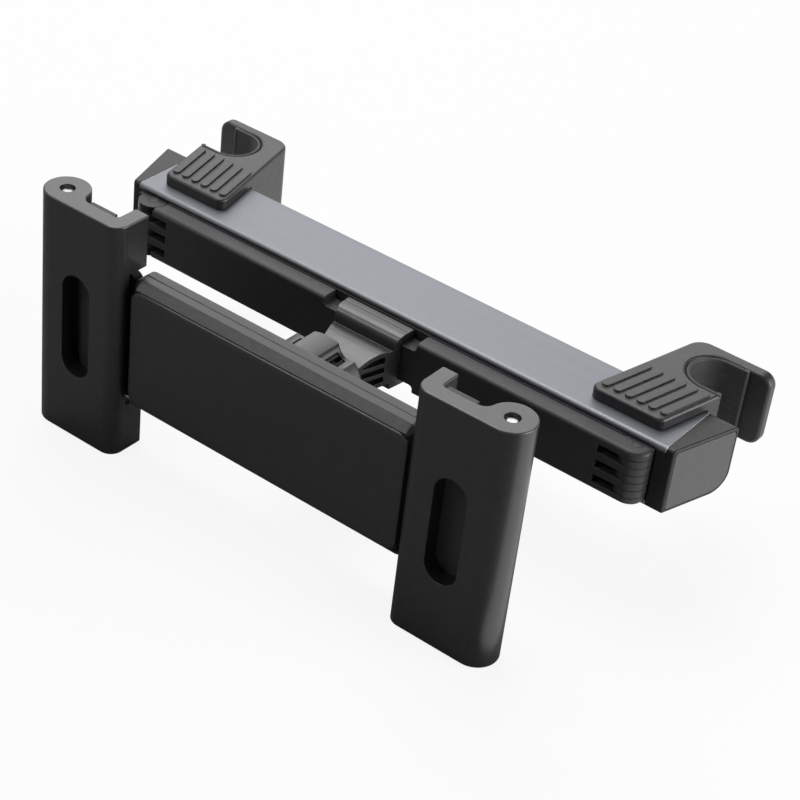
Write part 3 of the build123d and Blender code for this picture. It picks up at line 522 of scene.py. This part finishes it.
# Hook liners: soft rubber strips bent round the inside of each rod slot and glued there.
# Fine ribs run round the slot, so that the strip grips the rod and doesn't slide down it.
# The strip's two free edges end in a small round bead.
liner_radius = 0.00758
liner_thickness = 0.00114
liner_half_spread = 0.084
bend_steps = 32
rubber = moulded(
    "soft_rubber",
    dark=(0.046, 0.046, 0.047),
    light=(0.062, 0.062, 0.063),
    gloss=0.40,
    rough=0.55,
    grain=2600.0,
    depth=0.00004,
)


def centred_line(tree, length, axis):
    """A straight curve along an axis, with its middle at the origin."""
    line = add_node(tree, "GeometryNodeCurvePrimitiveLine")
    for label, share in (("Start", -0.5), ("End", 0.5)):
        end = add_node(tree, "ShaderNodeCombineXYZ")
        tree.links.new(figure(tree, "MULTIPLY", length, share), end.inputs[axis])
        tree.links.new(end.outputs["Vector"], line.inputs[label])
    return line.outputs["Curve"]


rubber_strip, wanted, made = geometry_tree(
    "ribbed_rubber_strip",
    {
        "Thickness": "NodeSocketFloat",
        "Height": "NodeSocketFloat",
        "Edge Radius": "NodeSocketFloat",
        "Rib Pitch": "NodeSocketFloat",
        "Rib Depth": "NodeSocketFloat",
        "Bead Radius": "NodeSocketFloat",
        "Finish": "NodeSocketMaterial",
    },
)
route = add_node(rubber_strip, "GeometryNodeMeshToCurve")
rubber_strip.links.new(wanted.outputs["Geometry"], route.inputs["Mesh"])
upright = add_node(rubber_strip, "GeometryNodeSetCurveNormal", mode="Z_UP")
rubber_strip.links.new(route.outputs["Curve"], upright.inputs["Curve"])
section = add_node(rubber_strip, "GeometryNodeCurvePrimitiveQuadrilateral", mode="RECTANGLE")
rubber_strip.links.new(wanted.outputs["Thickness"], section.inputs["Width"])
rubber_strip.links.new(wanted.outputs["Height"], section.inputs["Height"])
rounded = add_node(rubber_strip, "GeometryNodeFilletCurve", mode="POLY", Count=4)
rubber_strip.links.new(section.outputs["Curve"], rounded.inputs["Curve"])
rubber_strip.links.new(wanted.outputs["Edge Radius"], rounded.inputs["Radius"])
fine = add_node(rubber_strip, "GeometryNodeResampleCurve", Count=150)
rubber_strip.links.new(rounded.outputs["Curve"], fine.inputs["Curve"])
spot = add_node(rubber_strip, "GeometryNodeInputPosition")
parts = add_node(rubber_strip, "ShaderNodeSeparateXYZ")
rubber_strip.links.new(spot.outputs["Position"], parts.inputs["Vector"])
turns = figure(rubber_strip, "DIVIDE", parts.outputs["Y"], wanted.outputs["Rib Pitch"])
wave = figure(rubber_strip, "COSINE", figure(rubber_strip, "MULTIPLY", turns, math.tau))
hollow = figure(rubber_strip, "MULTIPLY_ADD", wave, -0.5, 0.5)
dip = figure(rubber_strip, "MULTIPLY", hollow, wanted.outputs["Rib Depth"])
lost = figure(rubber_strip, "DIVIDE", dip, wanted.outputs["Thickness"])
kept = figure(rubber_strip, "SUBTRACT", 1.0, lost)
moved = add_node(rubber_strip, "ShaderNodeCombineXYZ")
rubber_strip.links.new(figure(rubber_strip, "MULTIPLY", parts.outputs["X"], kept), moved.inputs["X"])
rubber_strip.links.new(parts.outputs["Y"], moved.inputs["Y"])
ribbed = add_node(rubber_strip, "GeometryNodeSetPosition")
rubber_strip.links.new(fine.outputs["Curve"], ribbed.inputs["Geometry"])
rubber_strip.links.new(moved.outputs["Vector"], ribbed.inputs["Position"])
strip = along_curve(rubber_strip, upright.outputs["Curve"], ribbed.outputs["Geometry"])
bead_line = centred_line(rubber_strip, wanted.outputs["Height"], "Z")
bead = round_bar(rubber_strip, bead_line, wanted.outputs["Bead Radius"], sides=20)
free_edges = add_node(rubber_strip, "GeometryNodeCurveEndpointSelection")
beads = repeated(rubber_strip, upright.outputs["Curve"], bead, chosen=free_edges.outputs["Selection"])
joined = add_node(rubber_strip, "GeometryNodeJoinGeometry")
rubber_strip.links.new(strip, joined.inputs["Geometry"])
rubber_strip.links.new(beads, joined.inputs["Geometry"])
handed_over(rubber_strip, joined.outputs["Geometry"], wanted, made)

for side, hand in (("left", -1), ("right", 1)):
    low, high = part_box(f"{side}_hook_liner")
    middle_z = (low[2] + high[2]) / 2
    mouth = max(abs(low[0]), abs(high[0]))
    bend = [math.radians(270 - 180 * step / bend_steps) for step in range(bend_steps + 1)]
    outline = [(liner_half_spread + liner_radius * math.cos(a), liner_radius * math.sin(a)) for a in bend]
    outline = [(mouth, -liner_radius)] + outline + [(mouth, liner_radius)]
    places = [(hand * x, y, middle_z) for x, y in outline]
    path = bpy.data.meshes.new(f"{side}_liner_path")
    path.from_pydata(places, [(index, index + 1) for index in range(len(places) - 1)], [])
    liner = grown(
        f"{side}_liner_strip",
        path,
        rubber_strip,
        {
            "Thickness": liner_thickness,
            "Height": high[2] - low[2],
            "Edge Radius": 0.00045,
            "Rib Pitch": 0.0018,
            "Rib Depth": 0.00008,
            "Bead Radius": 0.0007,
            "Finish": rubber,
        },
    )
    shade_smooth(liner.data, 50)
    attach(liner, f"{side}_hook")
    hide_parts(f"{side}_hook_liner")

# Folding arm: two glass-filled nylon bars, the inner link and the front arm.
# They are hinged to the left cap and to each other by interleaved knuckles on steel pins.
# The front bar has a waist in the middle for its bracket.
arm_plastic = moulded(
    "arm_plastic",
    dark=(0.032, 0.032, 0.034),
    light=(0.047, 0.047, 0.050),
    gloss=0.40,
    rough=0.42,
    grain=3600.0,
    depth=0.00003,
)
black_steel = drawn_steel(
    "blackened_steel", dark=(0.012, 0.012, 0.013), light=(0.024, 0.024, 0.025), stretch=(1.0, 1.0, 0.1)
)
dress(arm_plastic, "inner_link", "front_arm")
dress(black_steel, "link_hinge_pin", "arm_hinge_pin")

# Pin plugs: small plastic discs pressed in over both ends of each hinge pin.
# They lie almost flush with the knuckles, so only a fine ring shows.
plug_radius = 0.00149
plug_flat = plug_radius - 0.0002
plug_half = 0.00009
plug_sunk = 0.0001
plug_section = [
    (0.0, plug_half),
    (plug_flat, plug_half * 0.9),
    (plug_radius, plug_half * 0.4),
    (plug_radius, -plug_half * 0.4),
    (plug_flat, -plug_half * 0.9),
    (0.0, -plug_half),
]

set_pieces, wanted, made = geometry_tree(
    "pieces_set_on_points", {"Piece": "NodeSocketObject", "Finish": "NodeSocketMaterial"}
)
single = add_node(set_pieces, "GeometryNodeObjectInfo")
set_pieces.links.new(wanted.outputs["Piece"], single.inputs["Object"])
copies = repeated(set_pieces, wanted.outputs["Geometry"], single.outputs["Geometry"])
handed_over(set_pieces, copies, wanted, made)

plug = turned("pin_plug", plug_section, "Z")
arm_low, arm_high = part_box("front_arm")
levels = (arm_high[2] - plug_sunk, arm_low[2] + plug_sunk)
for pin, body, slot in (
    ("link_hinge_pin", "rail", "black_plastic"),
    ("arm_hinge_pin", "front_arm", "arm_plastic"),
):
    low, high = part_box(pin)
    x = (low[0] + high[0]) / 2
    y = (low[1] + high[1]) / 2
    places = points_mesh(f"{pin}_plug_places", [(x, y, z) for z in levels])
    plugs = grown(f"{pin}_plugs", places, set_pieces, {"Piece": plug, "Finish": arm_plastic})
    shade_smooth(plugs.data, 40)
    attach(plugs, body)

# Bracket: a ribbed nylon moulding clipped over the arm's waist, with two screws from behind.
# Its top sweeps down in a wave from the clip to the nose, which carries the ball stud.
# The sides are cored out to ribs, as on any thick moulding. Its side view is in millimetres.
mm = 0.001
low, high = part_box("arm_bracket")
clip_back = high[1] / mm
clip_front = -42.5
clip_inside = -40.1
clip_half = high[2] / mm
waist_half = 5.5
nose_tip = low[1] / mm
pocket_back = -44.6
pocket_front = -51.9
core_half_width = 4.6
sweep = [
    (-37.2, 0.0), (-37.35, -0.25), (-37.5, 0.0), (-38.8, -0.03), (-39.8, -0.2),
    (-40.6, -0.6), (-41.2, -1.2), (-41.65, -2.0), (-42.0, -2.8), (-42.3, -3.6),
    (-42.5, -4.2), (-43.2, -4.05), (-44.0, -3.92), (-45.0, -3.83), (-46.2, -3.82),
    (-47.2, -3.95), (-48.3, -4.2), (-49.4, -4.5), (-50.4, -4.85), (-51.4, -5.25), (-52.4, -5.75),
]
nose_low = [(-52.0, -7.1), (-49.0, -6.9), (-46.0, -6.65), (-43.8, -6.45), (clip_front, -6.3)]
bracket_edge = [
    (clip_back, clip_half),
    *[(y, clip_half + drop) for y, drop in sweep],
    (nose_tip, 2.0),
    (nose_tip, -7.0),
    *nose_low,
    (clip_front, -clip_half),
    (clip_back, -clip_half),
    (clip_back, -waist_half),
    (clip_inside, -waist_half),
    (clip_inside, waist_half),
    (clip_back, waist_half),
]
roof = [(pocket_back, 2.8), (-46.0, 2.9), (-47.5, 2.75), (-49.5, 2.25), (pocket_front, 1.3)]
pockets = [
    roof + [(pocket_front, 0.9), (pocket_back, 0.9)],
    [(pocket_back, -0.4), (pocket_front, -0.4), (pocket_front, -2.1), (pocket_back, -2.1)],
    [(pocket_back, -3.4), (pocket_front, -3.4), (pocket_front, -5.6), (pocket_back, -5.1)],
]
core_edge = [(-52.6, 1.4), (-52.6, -6.4), (-41.0, -5.9), (-41.0, 3.6), (-46.0, 3.7), (-49.4, 3.0)]
taper = [
    (-35.1, 11.2), (-40.0, 10.9), (-42.0, 10.4), (-43.8, 9.7),
    (-46.0, 9.0), (-49.0, 8.1), (-53.3, 7.0),
]


def half_width(y):
    """Half the bracket's width at a distance from the rail, in millimetres."""
    for (near, wide), (far, narrow) in zip(taper, taper[1:]):
        if y >= far:
            return wide + (narrow - wide) * max(near - y, 0.0) / (near - far)
    return taper[-1][1]


def cored_slab(shape, rims, width):
    """A slab across X between two outlines with holes, its half width led by Y."""
    sides = []
    for hand in (-1, 1):
        side = [
            [shape.verts.new((hand * width(y) * mm, y * mm, z * mm)) for y, z in rim] for rim in rims
        ]
        ring = [shape.edges.new((rim[index - 1], rim[index])) for rim in side for index in range(len(rim))]
        bmesh.ops.triangle_fill(shape, edges=ring, use_beauty=True, use_dissolve=False)
        sides.append(side)
    for left, right in zip(*sides):
        for index in range(len(left)):
            shape.faces.new((left[index - 1], left[index], right[index], right[index - 1]))


bracket_plastic = moulded(
    "bracket_plastic",
    dark=(0.014, 0.014, 0.015),
    light=(0.026, 0.026, 0.028),
    gloss=0.85,
    rough=0.31,
    grain=2400.0,
    depth=0.000004,
)
dress(screw_steel, "bracket_screws")
shape = bmesh.new()
cored_slab(shape, [bracket_edge] + pockets, half_width)
cored_slab(shape, [core_edge], lambda y: core_half_width)
bracket_mesh = closed_mesh("ribbed_bracket", shape)
bracket_mesh.materials.append(bracket_plastic)
shade_smooth(bracket_mesh, 32)
bracket = new_piece("ribbed_bracket", bracket_mesh)
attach(bracket, "front_arm")
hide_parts("arm_bracket")

# Ball stud and seat: a blackened steel ball with a neck and a flange, pressed into the bracket.
# A thin split shell of acetal lines the socket that grips it.
ball_black = drawn_steel(
    "blackened_ball",
    dark=(0.055, 0.055, 0.058),
    light=(0.085, 0.085, 0.088),
    stretch=(1.0, 0.1, 1.0),
    scale=1800.0,
    rough=(0.26, 0.38),
)
dress(ball_black, "ball_stud")
dress(slide_plastic, "ball_seat")

# Holder: two black plastic shells with a chamfered front rim, closed round the sliders.
# The back shell has the split collet that takes the ball, and the fluted nut screws down over it.
shell_plastic = moulded(
    "shell_plastic",
    dark=(0.010, 0.010, 0.011),
    light=(0.026, 0.026, 0.028),
    gloss=0.62,
    rough=0.38,
    grain=4000.0,
    depth=0.00002,
)
dress(shell_plastic, "holder_front", "holder_back")
dress(bracket_plastic, "lock_nut")

# Holder screws: four cross-head steel screws, sunk in the back shell.
# They run through the shell's bosses into the front one.
low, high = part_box("holder_screws")
head_radius = 0.0023
head_height = 0.0012
outer_x = high[0] - head_radius
inner_x = 0.020
screw_z = (low[2] + high[2]) / 2
holder_blank = screw_blank(
    "holder_screw_blank",
    head_radius=head_radius,
    head_height=head_height,
    shank_radius=0.0012,
    shank_length=high[1] - low[1] - head_height,
)
screw_places = [(hand * x, high[1], screw_z) for x in (outer_x, inner_x) for hand in (-1, 1)]
holder_screws = grown(
    "cross_head_holder_screws",
    points_mesh("holder_screw_places", screw_places),
    cross_head,
    {
        "Screw": holder_blank,
        "Recess Length": 0.0027,
        "Recess Width": 0.0006,
        "Recess Depth": 0.0014,
        "Finish": screw_steel,
    },
)
shade_smooth(holder_screws.data, 35)
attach(holder_screws, "holder")
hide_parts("holder_screws")

# Sliders: acetal carriers for the jaws, each with a rack on its inner strip.
# A pinion between the racks keeps the jaws level, and two small steel springs draw them together.
dress(slide_plastic, "left_slider", "right_slider", "rack_pinion")
for side, post, free in (("left", 1, 0), ("right", 0, 1)):
    node = f"{side}_jaw_spring"
    coil = wound_spring(f"{side}_jaw_coil", node, turns=8.0, wire_radius=0.00025, finish=spring_steel)
    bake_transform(coil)

# Front pad: a soft-touch panel let into the front shell, plain and very slightly crowned.
# It is a rubber moulding with a rounded rim, bonded into its recess.
pad_finish = moulded(
    "panel_rubber",
    dark=(0.036, 0.036, 0.038),
    light=(0.048, 0.048, 0.051),
    gloss=0.60,
    rough=0.40,
    grain=3600.0,
    depth=0.000015,
)
low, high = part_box("front_pad")
pad_corner = 0.00345
least_corner = 0.0002
pad_crown = 0.00012
corner_steps = 10
rim_rings = [(0.0, 1.0), (0.0, 0.30), (0.00005, 0.16), (0.00015, 0.05), (0.0003, 0.0)]
face_rings = [(inset, 0.0) for inset in (0.002, 0.005, 0.009, 0.013, 0.0165)]
half_x = (high[0] - low[0]) / 2
half_z = (high[2] - low[2]) / 2
middle_z = (high[2] + low[2]) / 2
shape = bmesh.new()
loops = []
for inset, depth in rim_rings + face_rings:
    corner = max(pad_corner - inset, least_corner)
    loop = []
    for quarter, (sign_x, sign_z) in enumerate(((1, 1), (-1, 1), (-1, -1), (1, -1))):
        for step in range(corner_steps + 1):
            angle = math.radians(90 * (quarter + step / corner_steps))
            x = sign_x * (half_x - inset - corner) + corner * math.cos(angle)
            z = sign_z * (half_z - inset - corner) + corner * math.sin(angle)
            fall = pad_crown * (1 - (1 - (x / half_x) ** 2) * (1 - (z / half_z) ** 2))
            y = low[1] + fall + (high[1] - low[1] - fall) * depth
            loop.append(shape.verts.new((x, y, middle_z + z)))
    loops.append(loop)
for outer, inner in zip(loops, loops[1:]):
    for index in range(len(outer)):
        after = (index + 1) % len(outer)
        shape.faces.new((outer[index], outer[after], inner[after], inner[index]))
shape.faces.new(loops[0])
shape.faces.new(loops[-1])
pad_mesh = closed_mesh("front_panel", shape)
pad_mesh.materials.append(pad_finish)
shade_smooth(pad_mesh, 40)
front_panel = new_piece("front_panel", pad_mesh)
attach(front_panel, "holder")
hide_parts("front_pad")

# Jaws: thick black plastic clamps that fold out on long steel pins.
# Each has a window in its plate and a lip that hooks over the tablet's edge.
jaw_plastic = moulded(
    "jaw_plastic",
    dark=(0.010, 0.010, 0.011),
    light=(0.026, 0.026, 0.028),
    gloss=1.00,
    rough=0.32,
    grain=3400.0,
    depth=0.000012,
)
pin_steel = drawn_steel(
    "pin_steel", dark=(0.48, 0.48, 0.49), light=(0.62, 0.62, 0.63), stretch=(1.0, 1.0, 0.05)
)
dress(jaw_plastic, "left_jaw", "right_jaw")
dress(pin_steel, "left_jaw_pin", "right_jaw_pin")

# Jaw pads: rubber strips bonded to the inner face of each jaw's plate.
# Half-round ribs across them grip the tablet's edge. Their ends are notched round the jaw's root.
pad_edge = 0.0003
rib_radius = 0.0005
rib_pitch = 0.0017
rib_count = 41
rib_margin = 0.0022
rib_shortfall = 0.0010
root_width = 0.0027
root_height = 0.0177

ribbed_pad, wanted, made = geometry_tree(
    "ribbed_pad",
    {
        "Rib Start": "NodeSocketVector",
        "Rib Pitch": "NodeSocketVector",
        "Rib Count": "NodeSocketInt",
        "Rib Length": "NodeSocketFloat",
        "Rib Radius": "NodeSocketFloat",
        "Finish": "NodeSocketMaterial",
    },
)
row = add_node(ribbed_pad, "GeometryNodeMeshLine", mode="OFFSET")
ribbed_pad.links.new(wanted.outputs["Rib Count"], row.inputs["Count"])
ribbed_pad.links.new(wanted.outputs["Rib Start"], row.inputs["Start Location"])
ribbed_pad.links.new(wanted.outputs["Rib Pitch"], row.inputs["Offset"])
rib_line = centred_line(ribbed_pad, wanted.outputs["Rib Length"], "X")
rib = round_bar(ribbed_pad, rib_line, wanted.outputs["Rib Radius"], sides=14)
joined = add_node(ribbed_pad, "GeometryNodeJoinGeometry")
ribbed_pad.links.new(wanted.outputs["Geometry"], joined.inputs["Geometry"])
ribbed_pad.links.new(repeated(ribbed_pad, row.outputs["Mesh"], rib), joined.inputs["Geometry"])
handed_over(ribbed_pad, joined.outputs["Geometry"], wanted, made)

for side, hand in (("left", -1), ("right", 1)):
    low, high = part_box(f"{side}_jaw_pad")
    inner, outer = sorted((abs(low[0]), abs(high[0])))
    middle_z = (low[2] + high[2]) / 2
    half = (high[2] - low[2]) / 2
    back = high[1] - rib_radius
    notch = outer - root_width
    outline = [
        (inner, -half),
        (notch, -half),
        (notch, -root_height),
        (outer, -root_height),
        (outer, root_height),
        (notch, root_height),
        (notch, half),
        (inner, half),
    ]
    shape = bmesh.new()
    front_loop = [shape.verts.new((hand * x, low[1], middle_z + z)) for x, z in outline]
    back_loop = [shape.verts.new((hand * x, back, middle_z + z)) for x, z in outline]
    shape.faces.new(front_loop)
    shape.faces.new(back_loop)
    for index in range(len(outline)):
        after = (index + 1) % len(outline)
        shape.faces.new((front_loop[index], front_loop[after], back_loop[after], back_loop[index]))
    bmesh.ops.recalc_face_normals(shape, faces=shape.faces)
    back_rim = [edge for edge in shape.edges if all(vert in back_loop for vert in edge.verts)]
    bmesh.ops.bevel(shape, geom=back_rim, offset=pad_edge, segments=3, profile=0.5, affect="EDGES")
    jaw_pad = grown(
        f"{side}_ribbed_pad",
        closed_mesh(f"{side}_pad_body", shape),
        ribbed_pad,
        {
            "Rib Start": (hand * (inner + notch) / 2, back, middle_z - half + rib_margin),
            "Rib Pitch": (0.0, 0.0, rib_pitch),
            "Rib Count": rib_count,
            "Rib Length": notch - inner - rib_shortfall,
            "Rib Radius": rib_radius,
            "Finish": rubber,
        },
    )
    shade_smooth(jaw_pad.data, 40)
    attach(jaw_pad, f"{side}_jaw")
    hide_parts(f"{side}_jaw_pad")

# Floor: a wide sheet of white studio paper, on which the jaws' lower ends stand.
# It curves up into a low wall all round, far outside the lamps, and keeps the object's soft shadow.
# It shows as white to the camera and in reflections.
floor_gap = 0.0004
floor_level = cad_box[0][2] - floor_gap
cove_start = 5.0
cove_radius = 1.0
cove_steps = 12
wall_height = 2.2
white_share = 0.88
floor_section = [(0.0, floor_level)]
for step in range(cove_steps + 1):
    angle = math.radians(90 * step / cove_steps)
    out = cove_start + cove_radius * math.sin(angle)
    floor_section.append((out, floor_level + cove_radius * (1 - math.cos(angle))))
floor_section.append((cove_start + cove_radius, floor_level + wall_height))
floor = turned("floor", floor_section, "Z")
floor.data.shade_smooth()
bpy.context.scene.collection.objects.link(floor)
paper, tree, shader = new_finish("white_paper")
shader.inputs["Base Color"].default_value = (0.82, 0.82, 0.82, 1.0)
shader.inputs["Roughness"].default_value = 0.9
path = add_node(tree, "ShaderNodeLightPath")
reflected = figure(tree, "MAXIMUM", path.outputs["Is Glossy Ray"], path.outputs["Is Transmission Ray"])
seen = figure(tree, "MAXIMUM", path.outputs["Is Camera Ray"], reflected)
glow = add_node(tree, "ShaderNodeEmission", Strength=1.0)
blend = add_node(tree, "ShaderNodeMixShader")
tree.links.new(figure(tree, "MULTIPLY", seen, white_share), blend.inputs["Fac"])
tree.links.new(shader.outputs["BSDF"], blend.inputs[1])
tree.links.new(glow.outputs["Emission"], blend.inputs[2])
tree.links.new(blend.outputs["Shader"], tree.nodes["Material Output"].inputs["Surface"])
floor.data.materials.append(paper)

# Dark card: painted shade, a dark sheet laid on the paper in front of and under the object and kept out of
# the camera's sight.
# It stands in for the dim floor in front and the object's shadow beneath; the faces that look forward
# reflect it, so they stay dark between their bright edges.
card_level = floor_level + 0.0002
# Its notch between x = -0.085 and 0.085 m reaches in under the rail, as painted shadow where the floor
# lies in the object's own shade.
card_edge = [
    (-0.9, -0.9),
    (0.45, -0.9),
    (0.45, -0.098),
    (0.085, -0.098),
    (0.085, -0.012),
    (-0.085, -0.012),
    (-0.085, -0.045),
    (-0.9, -0.045),
]
card_mesh = bpy.data.meshes.new("dark_card")
card_mesh.from_pydata([(x, y, card_level) for x, y in card_edge], [], [range(len(card_edge))])
card = new_piece("dark_card", card_mesh)
card.visible_camera = False
card.visible_shadow = False
matt_dark, tree, shader = new_finish("matt_dark_card")
shader.inputs["Base Color"].default_value = (0.18, 0.18, 0.18, 1.0)
shader.inputs["Roughness"].default_value = 0.9
card_mesh.materials.append(matt_dark)

# Studio: a dim room with four square softboxes: behind, above, on the right and at the front left.
# The two at the back and above light the tops, and the right-hand one the end plates.
# The one at the front left lights the rail's upper front edge, whose colour also carries a painted
# highlight.
lamp_aim = Vector((0.0, -0.05, 0.0))
room = bpy.data.worlds.new("studio")
bpy.context.scene.world = room
room.use_nodes = True
room.node_tree.nodes["Background"].inputs["Color"].default_value = (0.05, 0.05, 0.05, 1.0)


def softbox(name, place, size, watts):
    """A square area lamp that faces the object."""
    lamp = bpy.data.lights.new(name, "AREA")
    lamp.size = size
    lamp.energy = watts
    stand = bpy.data.objects.new(name, lamp)
    stand.location = place
    stand.rotation_euler = (lamp_aim - Vector(place)).to_track_quat("-Z", "Y").to_euler()
    bpy.context.scene.collection.objects.link(stand)


softbox("rear_softbox", place=(-0.66, 0.99, 0.80), size=1.1, watts=7.1)
softbox("upper_left_softbox", place=(-0.40, 0.1, 1.15), size=0.8, watts=10.0)
softbox("right_softbox", place=(1.1, 0.25, 0.25), size=0.9, watts=14.0)
softbox("front_left_softbox", place=(-0.62, -0.80, 0.95), size=0.5, watts=3.0)

# Camera: placed as the photograph's view has it, from above and to the right of the front.
# It stands 0.6 m away with a long lens, which keeps the rail's edges nearly parallel.
camera_place = (0.27302, -0.43494, 0.31800)
right = Vector((0.78937, 0.60541, 0.10186))
down = Vector((0.41597, -0.40541, -0.81401))
forward = Vector((-0.45151, 0.68493, -0.57185))
camera = bpy.data.cameras.new("camera")
camera.sensor_width = 36.0
camera.sensor_fit = "HORIZONTAL"
camera.lens = 95.743
camera.clip_start = 0.01
viewer = bpy.data.objects.new("camera", camera)
turn = Matrix((right, -down, -forward)).transposed()
viewer.matrix_world = Matrix.Translation(camera_place) @ turn.to_4x4()
bpy.context.scene.collection.objects.link(viewer)
bpy.context.scene.camera = viewer
bpy.context.scene.view_settings.view_transform = "Standard"
